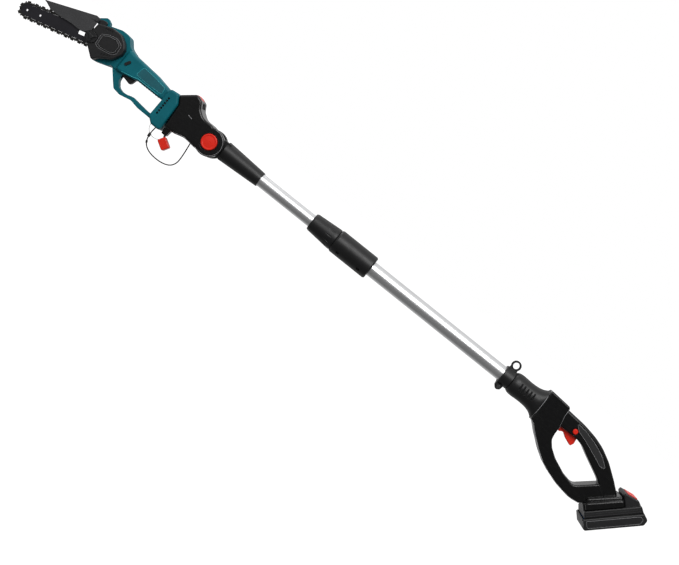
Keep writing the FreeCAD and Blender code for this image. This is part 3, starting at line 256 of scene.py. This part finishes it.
TEAL = (0.003, 0.150, 0.190)
MATERIALS = {
    "aluminium": metal("aluminium", (0.88, 0.885, 0.895), 0.34),
    "matte_black": plastic("matte_black", (0.0065, 0.0065, 0.0070), 0.42, 0.20, 0.0004, 4.0),
    "satin_black": plastic("satin_black", (0.0020, 0.0020, 0.0022), 0.24, 0.020, 0.0003, 6.0, 0.0010),
    "soft_grip": plastic("soft_grip", (0.014, 0.014, 0.015), 0.55, 0.45, 0.0008, 3.0),
    "charcoal": plastic("charcoal", (0.0095, 0.0095, 0.0105), 0.46, 0.25, 0.0005, 3.5),
    "teal": plastic("teal", TEAL, 0.44, 0.10, 0.0004, 1.7, 0.0010, shine=0.22),
    "red": plastic("red", (0.98, 0.028, 0.012), 0.30, 0.02, 0.0004, 1.3, shine=0.4),
    "bar_steel": metal("bar_steel", (0.058, 0.056, 0.064), 0.46, (900.0, 40.0, 900.0), 0.06, 0.7),
    "chain_steel": metal("chain_steel", (0.075, 0.073, 0.070), 0.36, (700.0, 700.0, 700.0), 0.1, 0.6),
    "machined_steel": metal("machined_steel", (0.56, 0.56, 0.57), 0.30, (600.0, 60.0, 600.0)),
    "screw_steel": metal("screw_steel", (0.12, 0.12, 0.125), 0.38, (500.0, 500.0, 500.0)),
    "spring_steel": metal("spring_steel", (0.45, 0.45, 0.46), 0.30, (900.0, 900.0, 900.0)),
    "inner_plastic": plastic("inner_plastic", (0.55, 0.55, 0.52), 0.5, 0.2),
    "cell_wrap": plastic("cell_wrap", (0.03, 0.16, 0.42), 0.25, 0.05),
    "board": plastic("board", (0.012, 0.12, 0.05), 0.35, 0.15),
    # A light grey for thin lines laid along edges and rims: a painted highlight.
    "highlight_grey": plastic("highlight_grey", (0.30, 0.30, 0.31), 0.35, 0.05),
    # Black for thin lines: a dark joint on the battery, and painted shade in the cover panel's groove and the
    # pivot button's ring recess.
    "dark_joint_and_shade": plastic("dark_joint_and_shade", (0.002, 0.002, 0.002), 0.6, 0.05),
    # A lighter teal for thin lines along the grip's and slab's edges: a painted highlight.
    "teal_highlight": plastic("teal_highlight", (0.06, 0.50, 0.56), 0.35, 0.05),
    "teal_grip": plastic("teal_grip", shade(TEAL, 0.8), 0.58, 0.9, 0.0011, 1.6),
    "cord": plastic("cord", (0.012, 0.012, 0.012), 0.55, 0.6, 0.0008),
}


def dress(obj, slot):
    obj.data.materials.clear()
    obj.data.materials.append(MATERIALS[slot])


for part in record["subparts"]:
    dress(nodes[part["node"]], part["material_slot"])
nodes["chip_guard"].data.materials[0] = plastic("flap", (0.05, 0.05, 0.053), 0.62, 0.9, 0.0014, 1.6)


# ------------------------------------------------------------------ floor and lights
TOOL_MIDDLE = Vector((0.35, 0.0, -0.08))


def area(name, direction, distance, size, power):
    """A white rectangular light at that distance from the tool's middle."""
    data = bpy.data.lights.new(name, "AREA")
    data.shape = "RECTANGLE"
    data.size, data.size_y = size
    data.energy = power
    light = bpy.data.objects.new(name, data)
    bpy.context.collection.objects.link(light)
    light.location = TOOL_MIDDLE + direction.normalized() * distance
    light.rotation_euler = direction.to_track_quat("Z", "Y").to_euler()


def make_world():
    """White above and behind, and dark towards the camera, as in a small photo studio.

    The camera itself sees white everywhere.
    """
    world = bpy.data.worlds.new("world")
    bpy.context.scene.world = world
    world.use_nodes = True
    tree = world.node_tree
    way = tree.nodes.new("ShaderNodeTexCoord").outputs["Generated"]
    levels = []
    rises = ((SCREEN_UP, 0.0, 0.45, 0.13, 0.72), (-TOWARD_CAMERA, 0.0, 0.5, 0.13, 0.60))
    for direction, low, high, bottom, top in rises:
        dot = tree.nodes.new("ShaderNodeVectorMath")
        dot.operation = "DOT_PRODUCT"
        tree.links.new(way, dot.inputs[0])
        dot.inputs[1].default_value = direction
        level = tree.nodes.new("ShaderNodeMapRange")
        for socket, value in zip(list(level.inputs)[1:5], (low, high, bottom, top)):
            socket.default_value = value
        tree.links.new(dot.outputs["Value"], level.inputs["Value"])
        levels.append(level.outputs["Result"])
    larger = tree.nodes.new("ShaderNodeMath")
    larger.operation = "MAXIMUM"
    tree.links.new(levels[0], larger.inputs[0])
    tree.links.new(levels[1], larger.inputs[1])
    seen = tree.nodes.new("ShaderNodeMath")
    seen.operation = "MAXIMUM"
    tree.links.new(larger.outputs["Value"], seen.inputs[0])
    tree.links.new(tree.nodes.new("ShaderNodeLightPath").outputs["Is Camera Ray"], seen.inputs[1])
    background = tree.nodes["Background"]
    background.inputs["Color"].default_value = (1.0, 1.0, 1.0, 1.0)
    tree.links.new(seen.outputs["Value"], background.inputs["Strength"])


# The floor lies well below the tool, so that it doesn't hide the saw when the head tilts down.
FLOOR_DROP = 0.45
FLOOR_HALF_SIDE = 60.0


def make_stage():
    """A floor that is white to the camera and lights the tool only from behind, the world and two lights."""
    grid = bmesh.new()
    bmesh.ops.create_grid(grid, x_segments=12, y_segments=12, size=FLOOR_HALF_SIDE)
    mesh = bpy.data.meshes.new("floor")
    grid.to_mesh(mesh)
    grid.free()
    floor = bpy.data.objects.new("floor", mesh)
    bpy.context.collection.objects.link(floor)
    floor.location.z = cad_low[2] - FLOOR_DROP
    t = Tree("floor")
    tone = t.ramp(t.noise(0.4, 3.0), 0.3, 0.7)
    seen = t.node("ShaderNodeLightPath").outputs["Is Camera Ray"]
    split = t.node("ShaderNodeSeparateXYZ")
    t.link(t.place, split.inputs[0])
    behind = t.ramp(split.outputs["Y"], 0.08, -0.50, 0.03, 0.45)
    strength = t.math("MAXIMUM", seen, behind)
    t.link(t.mix(tone, (0.97, 0.97, 0.97), (1.0, 1.0, 1.0)), t.shader.inputs["Emission Color"])
    t.link(strength, t.shader.inputs["Emission Strength"])
    t.finish(t.mix(tone, (0.11, 0.11, 0.11), (0.12, 0.12, 0.12)), None, None, roughness=0.9)
    floor.data.materials.append(t.material)
    make_world()
    area("front", TOWARD_CAMERA + SCREEN_RIGHT * 0.6 + SCREEN_UP * 0.5, 3.0, (1.6, 1.6), 42.0)
    area("edge", SCREEN_UP - TOWARD_CAMERA * 0.25 + SCREEN_RIGHT * 0.2, 2.4, (1.6, 0.25), 6.0)


make_stage()


def piece(name, mesh, body, slot):
    obj = bpy.data.objects.new(name, mesh)
    bpy.context.collection.objects.link(obj)
    obj.data.materials.append(MATERIALS[slot])
    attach(obj, body)
    return obj


def spline_piece(name, points, radius, body, slot):
    """A round cord along a NURBS spline with those control points."""
    curve = bpy.data.curves.new(name, "CURVE")
    curve.dimensions = "3D"
    curve.bevel_depth = radius
    curve.bevel_resolution = 5
    spline = curve.splines.new("NURBS")
    spline.points.add(len(points) - 1)
    for control, point in zip(spline.points, points):
        control.co = (*point, 1.0)
    spline.order_u = 3
    spline.use_endpoint_u = True
    spline.resolution_u = 10
    curve.use_fill_caps = True
    return piece(name, curve, body, slot)


def prism(mesh, outline, low, high, place):
    """Extrudes a closed outline of (a, b) between two heights of a mapping place(a, b, y)."""
    floor = [mesh.verts.new(place(a, b, low)) for a, b in outline]
    roof = [mesh.verts.new(place(a, b, high)) for a, b in outline]
    count = len(outline)
    mesh.faces.new(floor[::-1])
    mesh.faces.new(roof)
    for i in range(count):
        j = (i + 1) % count
        mesh.faces.new((floor[i], floor[j], roof[j], roof[i]))


def from_bmesh(name, mesh, smooth=False):
    bmesh.ops.recalc_face_normals(mesh, faces=mesh.faces)
    made = bpy.data.meshes.new(name)
    mesh.to_mesh(made)
    mesh.free()
    for face in made.polygons:
        face.use_smooth = smooth
    return made


def arc(centre, radius, start, end, steps):
    """Points on an arc, in degrees."""
    angles = [math.radians(start + (end - start) * i / steps) for i in range(steps + 1)]
    return [(centre[0] + radius * math.cos(a), centre[1] + radius * math.sin(a)) for a in angles]


def resampled(points, count):
    """That number of points at equal distances round a closed line."""
    ring = points + points[:1]
    lengths = [0.0]
    for a, b in zip(ring, ring[1:]):
        lengths.append(lengths[-1] + math.dist(a, b))
    places = []
    span = 0
    for i in range(count):
        wanted = lengths[-1] * i / count
        while lengths[span + 1] < wanted:
            span += 1
        a, b = ring[span], ring[span + 1]
        part = (wanted - lengths[span]) / (lengths[span + 1] - lengths[span])
        places.append((a[0] + (b[0] - a[0]) * part, a[1] + (b[1] - a[1]) * part))
    return places


# ------------------------------------------------------------------ chain
RIVETS = 62
DRIVE_Y = (13.15, 14.35)
INNER_STRAP_Y = (11.75, 12.85)
OUTER_STRAP_Y = (14.65, 15.75)


def chain_line():
    """The line of the rivets, in the bar's own plane, with +b away from the pole's underside."""
    top = [(-6.0, 15.1), (18.0, 15.1)]
    bottom = [(18.0, -15.1), (-6.0, -15.1)]
    rear = arc((-36.0, 0.0), 13.6, 265.0, 95.0, 24)
    nose = arc((126.6, 0.0), 12.5, 88.0, -88.0, 24)
    return rear + top + nose + bottom


def link_outline(length, height):
    """An oval round two rivets at 0 and at that length along x."""
    return arc((length, 0.0), height, -90.0, 90.0, 6) + arc((0.0, 0.0), height, 90.0, 270.0, 6)


def link_mapping(a, b):
    """x runs from rivet a to rivet b, y away from the bar."""
    length = math.dist(a, b)
    along = ((b[0] - a[0]) / length, (b[1] - a[1]) / length)
    outward = (-along[1], along[0])

    def place(x, up, y):
        return on_bar(a[0] + along[0] * x + outward[0] * up, a[1] + along[1] * x + outward[1] * up, y)

    return place, length


def make_chain():
    """Drive links, side straps with cutters on the left and on the right in turn, and the rivets."""
    mesh = bmesh.new()
    places = resampled(chain_line(), RIVETS)
    for i, (a, b) in enumerate(zip(places, places[1:] + places[:1])):
        place, length = link_mapping(a, b)
        if i % 2 == 0:
            drive = [(-1.7, 1.0), (-0.9, 1.8), (length + 0.9, 1.8), (length + 1.7, 1.0),
                     (length + 1.4, -1.2), (length * 0.72, -2.2), (length * 0.62, -4.0),
                     (length * 0.40, -4.0), (length * 0.16, -2.0), (-1.4, -1.2)]
            prism(mesh, drive, *DRIVE_Y, place)
            continue
        oval = link_outline(length, 1.75)
        number = i // 2
        for side, (low, high) in enumerate((INNER_STRAP_Y, OUTER_STRAP_Y)):
            cutting = number % 2 == side
            if not cutting:
                prism(mesh, oval, low, high, place)
                continue
            blade = [(-1.75, -1.4), (-0.6, -1.75), (length + 0.6, -1.75), (length + 1.9, -1.2),
                     (length + 1.9, 1.0), (length + 1.7, 3.3), (length + 0.5, 3.5), (length - 0.2, 1.6),
                     (length - 1.6, 1.3), (length - 2.2, 2.4), (length - 2.6, 4.1), (-1.4, 3.7), (-1.75, 1.6)]
            prism(mesh, blade, low, high, place)
            roof_low, roof_high = (10.9, 13.9) if side == 0 else (13.6, 16.6)
            roof = [(-1.4, 3.0), (length - 2.4, 3.4), (length - 2.4, 4.25), (-1.4, 3.75)]
            prism(mesh, roof, roof_low, roof_high, place)
    for a, b in places:
        for low, high, face in ((15.7, 15.95, 16.15), (11.8, 11.55, 11.35)):
            wide = [(a + x, b + y) for x, y in arc((0, 0), 1.15, 0, 330, 11)]
            small = [(a + x, b + y) for x, y in arc((0, 0), 0.7, 0, 330, 11)]
            rings = [[mesh.verts.new(on_bar(*p, y)) for p in ring]
                     for ring, y in ((wide, low), (wide, high), (small, face))]
            for inner, outer in zip(rings, rings[1:]):
                for j in range(12):
                    k = (j + 1) % 12
                    mesh.faces.new((inner[j], inner[k], outer[k], outer[j]))
            mesh.faces.new(rings[-1])
            mesh.faces.new(rings[0][::-1])
    chain = piece("chain_links", from_bmesh("chain_links", mesh), "saw_head", "chain_steel")
    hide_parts("saw_chain")


make_chain()


# ------------------------------------------------------------------ mouldings' details, with painted highlight and shade lines
def rounded(points, radius):
    """A closed outline with its corners rounded, as a denser list of points."""
    line = []
    for i, point in enumerate(points):
        corner = Vector(point[:2])
        back = Vector(points[i - 1][:2]) - corner
        onward = Vector(points[(i + 1) % len(points)][:2]) - corner
        wanted = point[2] if len(point) > 2 else radius
        half = back.angle(onward) / 2
        reach = min(wanted / math.tan(half), 0.49 * min(back.length, onward.length))
        start = corner + back.normalized() * reach
        end = corner + onward.normalized() * reach
        for step in range(6):
            part = step / 5
            line.append(tuple(start.lerp(corner, part).lerp(corner.lerp(end, part), part)))
    return line


def soften(obj, width):
    bevel = obj.modifiers.new("soft edges", "BEVEL")
    bevel.width = width
    bevel.segments = 2
    bevel.limit_method = "ANGLE"
    bevel.angle_limit = math.radians(40)
    bevel.harden_normals = False
    return obj


def slabs(name, outlines, spans, body, slot, place=at, width=0.0003):
    """Thin raised plates of those outlines between each pair of heights along Y."""
    mesh = bmesh.new()
    for outline in outlines:
        for low, high in spans:
            prism(mesh, outline, low, high, place)
    return soften(piece(name, from_bmesh(name, mesh), body, slot), width)


def bead(name, points, radius, body, slot, closed=False):
    """A thin raised or inlaid line of six sides through those points."""
    mesh = bmesh.new()
    rings = []
    count = len(points)
    for i, point in enumerate(points):
        before = points[i - 1] if closed or i else point
        after = points[(i + 1) % count] if closed or i < count - 1 else point
        way = (after - before).normalized()
        across = Vector((0.0, 1.0, 0.0)) if abs(way.y) < 0.9 else Vector((1.0, 0.0, 0.0))
        side = way.cross(across).normalized()
        other = way.cross(side)
        turns = [math.pi * j / 3 for j in range(6)]
        rings.append([mesh.verts.new(point + side * radius * math.cos(a) + other * radius * math.sin(a))
                      for a in turns])
    pairs = list(zip(rings, rings[1:])) + ([(rings[-1], rings[0])] if closed else [])
    for inner, outer in pairs:
        for j in range(6):
            k = (j + 1) % 6
            mesh.faces.new((inner[j], inner[k], outer[k], outer[j]))
    if not closed:
        mesh.faces.new(rings[0][::-1])
        mesh.faces.new(rings[-1])
    return piece(name, from_bmesh(name, mesh, True), body, slot)


def lathe(name, x, h, profile, body, slot):
    """A turned piece about a line along Y, from (y, radius) pairs."""
    segments = 64
    mesh = bmesh.new()
    rings = []
    for y, radius in profile:
        if radius < 0.01:
            rings.append([mesh.verts.new(at(x, h, y))])
        else:
            rings.append([mesh.verts.new(at(x + a, h + b, y))
                          for a, b in arc((0, 0), radius, 0, 360 - 360 / segments, segments - 1)])
    for inner, outer in zip(rings, rings[1:]):
        for j in range(segments):
            k = (j + 1) % segments
            corners = []
            square = (inner[j % len(inner)], inner[k % len(inner)],
                      outer[k % len(outer)], outer[j % len(outer)])
            for vert in square:
                if vert not in corners:
                    corners.append(vert)
            mesh.faces.new(corners)
    obj = piece(name, from_bmesh(name, mesh, True), body, slot)
    obj.data.set_sharp_from_angle(angle=math.radians(35))
    return obj


def without_doubles(points, gap):
    """The closed line without the points nearer than that gap to the one before."""
    return [point for i, point in enumerate(points) if math.dist(point, points[i - 1]) > gap]


def scaled_about(points, centre, factor):
    return [(centre[0] + (a - centre[0]) * factor, centre[1] + (b - centre[1]) * factor) for a, b in points]


def inset_line(points, distance):
    """The line moved to the left of its direction by that distance."""
    moved = []
    for i, point in enumerate(points):
        before, after = points[max(i - 1, 0)], points[min(i + 1, len(points) - 1)]
        length = math.dist(before, after)
        moved.append((point[0] - (after[1] - before[1]) / length * distance,
                      point[1] + (after[0] - before[0]) / length * distance))
    return moved


def both_sides(name, line, y, radius, body, slot, closed=False, place=at):
    """The same thin line on the left and on the right."""
    for side, word in ((1, "left"), (-1, "right")):
        bead(name + "_" + word, [place(a, b, side * y) for a, b in line], radius, body, slot, closed)


def make_cover_details():
    panel = [(899.5, 14, 7), (900, 30.5, 7), (912, 36, 8), (926, 33, 6), (938, 26, 3), (936, 7.5, 3),
             (928, 5, 5), (908, 9, 7)]
    edge = without_doubles(rounded(panel, 4), 0.2)
    middle = (918.5, 20.5)
    # Two light lines are painted highlights on the panel's rims, and the black line between them is painted
    # shade in its groove.
    for name, factor, y, radius, slot in (("cover_highlight_outer", 1.10, 26.0, 0.30, "highlight_grey"),
                                          ("cover_highlight_inner", 0.90, 27.4, 0.26, "highlight_grey"),
                                          ("cover_groove_shade", 0.82, 27.35, 0.45, "dark_joint_and_shade")):
        line = [at(a, b, y) for a, b in scaled_about(edge, middle, factor)]
        bead(name, line, radius / 1000, "saw_head", slot, True)


def make_neck_details():
    # A painted highlight line where the neck meets the hoop.
    ring = [at(-75.9, 31.3 * math.sin(a), 19.3 * math.cos(a))
            for a in [2 * math.pi * i / 20 for i in range(20)]]
    bead("neck_highlight_line", ring, 0.00055, "rear_handle", "highlight_grey", True)
    fins = []
    for step in range(5):
        x = -27.0 - 7.0 * step
        fins += [[(x - 1.6, -5.6), (x - 0.2, -5.6), (x + 1.4, 9.6), (x + 0.1, 9.6)]]
    slabs("neck_louvres", fins, [(-21.3, -18.4), (18.4, 21.3)], "rear_handle", "matte_black")
    # Painted highlight lines along the guard's outer edge and, below, along the opening's inner edge.
    outer = [(-76.5, -30.9), (-84.2, -33.9), (-99.1, -47.6), (-120.8, -64.8), (-141.2, -77.7),
             (-160.5, -85.9), (-179.0, -91.0), (-197.5, -95.2), (-215.3, -96.9), (-231.0, -94.8),
             (-247.0, -89.9)]
    both_sides("guard_edge_highlight", inset_line(outer, -0.9), 16.6, 0.0004, "rear_handle", "highlight_grey")
    inner = [(-208.0, -74.6), (-184.0, -69.8), (-169.0, -65.4), (-154.2, -57.8), (-143.8, -51.4),
             (-134.5, -43.6), (-128.6, -34.9), (-126.4, -24.0)]
    both_sides("opening_edge_highlight", inset_line(inner, -0.9), 16.6, 0.0003, "rear_handle", "highlight_grey")
    # A painted highlight line round the grip pad.
    pad = [(-145.1, 15.9, 4), (-169.3, 12.8, 50), (-193.7, 6.2, 50), (-216.3, -3.4, 40), (-235.2, -17.2, 8),
           (-225.4, -20.2, 6), (-203.8, -11.1, 40), (-178.1, -0.9, 40), (-157.7, 5.2, 20)]
    pad_edge = without_doubles(rounded(pad, 4), 0.3)
    both_sides("pad_outline_highlight", pad_edge, 16.0, 0.00035, "rear_handle", "highlight_grey", True)
    # A painted highlight line along the handle block's rear step.
    block_rear = [(-119.2, 27.5), (-119.8, 12.0), (-125.0, -11.0)]
    both_sides("handle_edge_highlight", block_rear, 17.5, 0.0004, "rear_handle", "highlight_grey")


def make_saw_details():
    panel = rounded([(850, 9, 3), (846, 27, 4), (822, 25.5, 30), (795, 21.5, 4), (793, 9, 4),
                     (830, 7.5, 20)], 4)
    slabs("saw_grip_panels", [panel], [(-17.0, -16.2), (16.2, 17.0)], "saw_head", "teal_grip", width=0.0004)
    ribs = []
    for step in range(9):
        x = 797.0 + 5.2 * step
        ribs.append([(x - 1.1, 0.6), (x + 1.1, 0.6), (x + 0.8, 2.0), (x - 0.8, 2.0)])
    slabs("saw_grip_ribs", ribs, [(-9.5, 9.5)], "saw_head", "teal_grip", width=0.0004)
    # Painted highlight lines in lighter teal: round the grip panels, along the grip's lower edge and along
    # the slab's edge.
    both_sides("saw_grip_outline_highlight", panel, 16.9, 0.00036, "saw_head", "teal_highlight", True)
    strip = [(797.0, 4.6), (842.0, 4.6), (851.0, 1.6), (874.0, -3.2)]
    both_sides("saw_grip_edge_highlight", strip, 16.0, 0.0007, "saw_head", "teal_highlight")
    slab = [(755.2, -40.0), (756.6, 0.0), (757.4, 13.4)]
    both_sides("saw_slab_edge_highlight", slab, 29.6, 0.0005, "saw_head", "teal_highlight")


def make_adapter_details():
    # A light grey slot shape: a painted highlight.
    window = rounded([(721.5, 8.6), (731.0, 10.4), (730.8, 11.6), (721.3, 9.8)], 0.5)
    slabs("adapter_slot_highlight", [window], [(28.6, 29.25)], "saw_head", "highlight_grey", width=0.0002)
    ridges = slanted(727.6, 45.6, math.degrees(math.atan2(-13.5, -8.5)))
    bars = [[(3.0, -0.8), (13.0, -0.8), (13.0, 1.0), (3.0, 1.0)]]
    spans = [(-9.5, -7.9), (-0.8, 0.8), (7.9, 9.5)]
    slabs("adapter_ridges", bars, spans, "saw_head", "matte_black", ridges)
    # A painted highlight line round the ear's rim, and a black ring of painted shade in the recess round the
    # pivot button.
    ear = arc(PIVOT, 24.3, 80.0, 265.0, 30) + [(690.0, -27.0), (713.0, -24.0), (730.0, -28.8)]
    both_sides("adapter_rim_highlight", ear, 28.9, 0.00045, "saw_head", "highlight_grey")
    ring = arc(PIVOT, 16.4, 0.0, 350.0, 35)
    both_sides("adapter_ring_shade", ring, 29.0, 0.0007, "saw_head", "dark_joint_and_shade", True)
    face = [(22.0, 9.0), (22.0, 14.7), (30.6, 14.7), (31.6, 14.1), (32.0, 13.1), (31.9, 12.2), (31.3, 11.6),
            (31.2, 10.8), (31.55, 8.0), (31.8, 4.0), (31.9, 0.0)]
    for word, side in (("left", 1), ("right", -1)):
        button = "pivot_button_" + word
        cap = lathe("pivot_cap_" + word, *PIVOT, [(side * y, r) for y, r in face], button, "red")
        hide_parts(button)


def make_knob():
    mesh = bmesh.new()
    edge = []
    for i in range(72):
        a = 2 * math.pi * i / 72
        reach = 10.6 - (0.7 if i % 6 in (0, 1) else 0.0)
        edge.append((STUD[0] + reach * math.cos(a), STUD[1] + reach * math.sin(a)))
    prism(mesh, edge, 23.8, 27.6, at)
    for turn in (20, 140, 260):
        wing = rounded([(1.5, -2.0), (8.6, -1.5), (9.2, 0.0), (8.6, 1.5), (1.5, 2.0)], 0.8)
        prism(mesh, wing, 27.0, 30.0, slanted(*STUD, turn))
    hub = [(STUD[0] + a, STUD[1] + b) for a, b in arc((0, 0), 3.6, 0, 345, 23)]
    prism(mesh, hub, 27.0, 30.6, at)
    knob = soften(piece("knob_top", from_bmesh("knob_top", mesh), "cover_knob", "charcoal"), 0.0004)
    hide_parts("cover_knob")


def make_battery_details():
    side = rounded([(-14, 15.5, 2), (-14, 28, 4), (80, 28, 7), (86, 21, 7), (82, 15.5, 6)], 3)
    faces = [(-36.5, -35.6), (35.6, 36.5)]
    slabs("battery_side_panels", [side], faces, "battery", "charcoal", on_base, 0.0004)
    # A painted highlight line round the side panels.
    both_sides("battery_outline_highlight", without_doubles(side, 0.2), 36.4, 0.0003, "battery", "highlight_grey", True, on_base)
    lines = [[(-15, 3.4), (85, 3.4), (85.5, 4.4), (-15, 4.4)],
             [(-15, 7.2), (86, 7.2), (86.5, 8.2), (-15, 8.2)]]
    deck_sides = [(-34.95, -34.2), (34.2, 34.95)]
    slabs("battery_ribs", lines, deck_sides, "battery", "charcoal", on_base, 0.0002)
    parting = [(-19.0, 11.2), (88.0, 11.2)]
    both_sides("battery_parting", parting, 34.7, 0.0006, "battery", "dark_joint_and_shade", place=on_base)
    # A painted highlight line on the front end's rounded edge.
    front = [(-20.0, 14.0), (-20.0, 29.0)]
    both_sides("battery_front_edge_highlight", front, 35.0, 0.0004, "battery", "highlight_grey", place=on_base)


make_cover_details()
make_neck_details()
make_saw_details()
make_adapter_details()
make_knob()
make_battery_details()


# ------------------------------------------------------------------ lanyard
LANYARD = [(703, -21.5, 0), (700.6, -38, 0), (698.6, -55, 0.5), (698.4, -70, 1), (705, -81, 1),
           (719, -86.5, 0.5), (735, -87.5, 0), (750, -85.5, 0), (762, -79, 0), (768, -68, 0),
           (769.4, -54.5, 0), (767.6, -41.5, 0)]
WIRE = [(773.5, -40.5, 27), (772.5, -48, 26.5), (768.5, -55, 22), (761, -59.5, 16), (753.5, -59.5, 12),
        (746.5, -55.5, 10)]
lanyard = spline_piece("lanyard_line", [at(*p) for p in LANYARD], 0.0011, "saw_head", "cord")
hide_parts("lanyard_cord")
wire = spline_piece("lanyard_tie", [at(*p) for p in WIRE], 0.0004, "saw_head", "spring_steel")
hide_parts("lanyard_wire")
